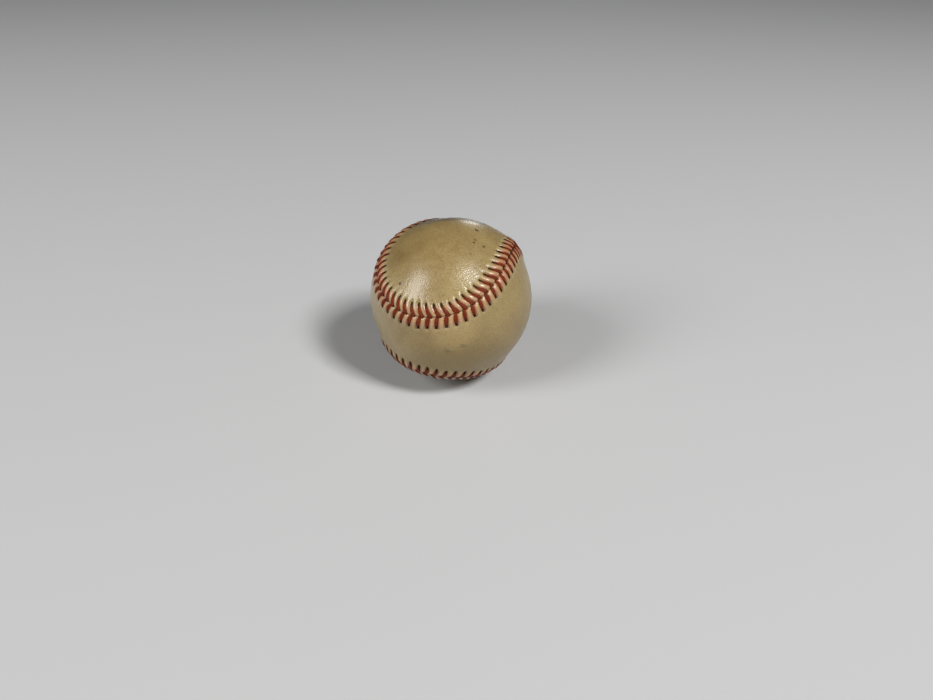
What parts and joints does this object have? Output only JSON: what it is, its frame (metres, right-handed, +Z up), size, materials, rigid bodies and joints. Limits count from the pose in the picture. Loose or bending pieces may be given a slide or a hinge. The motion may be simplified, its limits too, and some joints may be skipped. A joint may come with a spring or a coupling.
{
  "type": "baseball",
  "caption": "Hand-sized hard ball: two interlocking leather panels sewn edge to edge with raised V stitches over wound wool and a cork-and-rubber centre.",
  "frame": {"origin": "centre of the ball", "axes": "+Z up with the ball standing as it lies on a table; -Y faces the viewer; the waist of one panel crosses the front and the lobe of the other hangs into it as a U of stitches"},
  "size_m": [0.074, 0.077, 0.0738],
  "materials": {
    "cork_rubber": "matt, speckled cork and rubber mix",
    "black_rubber": "matt",
    "red_rubber": "matt",
    "grey_wool": "wound four-ply and three-ply wool yarn",
    "white_wool": "wound three-ply wool yarn",
    "cotton": "fine wound cotton",
    "rubber_cement": "thin tacky coat",
    "cover_leather": "yellowed, rubbed smooth, glossy",
    "red_thread": "waxed cotton, dark red"
  },
  "bodies": {
    "root": {"cork_core": "cork_rubber", "black_shell_lower": "black_rubber", "black_shell_upper": "black_rubber", "shell_gasket": "red_rubber", "red_jacket": "red_rubber", "winding_inner_grey": "grey_wool", "winding_white": "white_wool", "winding_outer_grey": "grey_wool", "winding_cotton": "cotton", "cement_coat": "rubber_cement", "cover_panel_a": "cover_leather", "cover_panel_b": "cover_leather", "thread_a": "red_thread", "thread_b": "red_thread"}
  },
  "joints": []
}
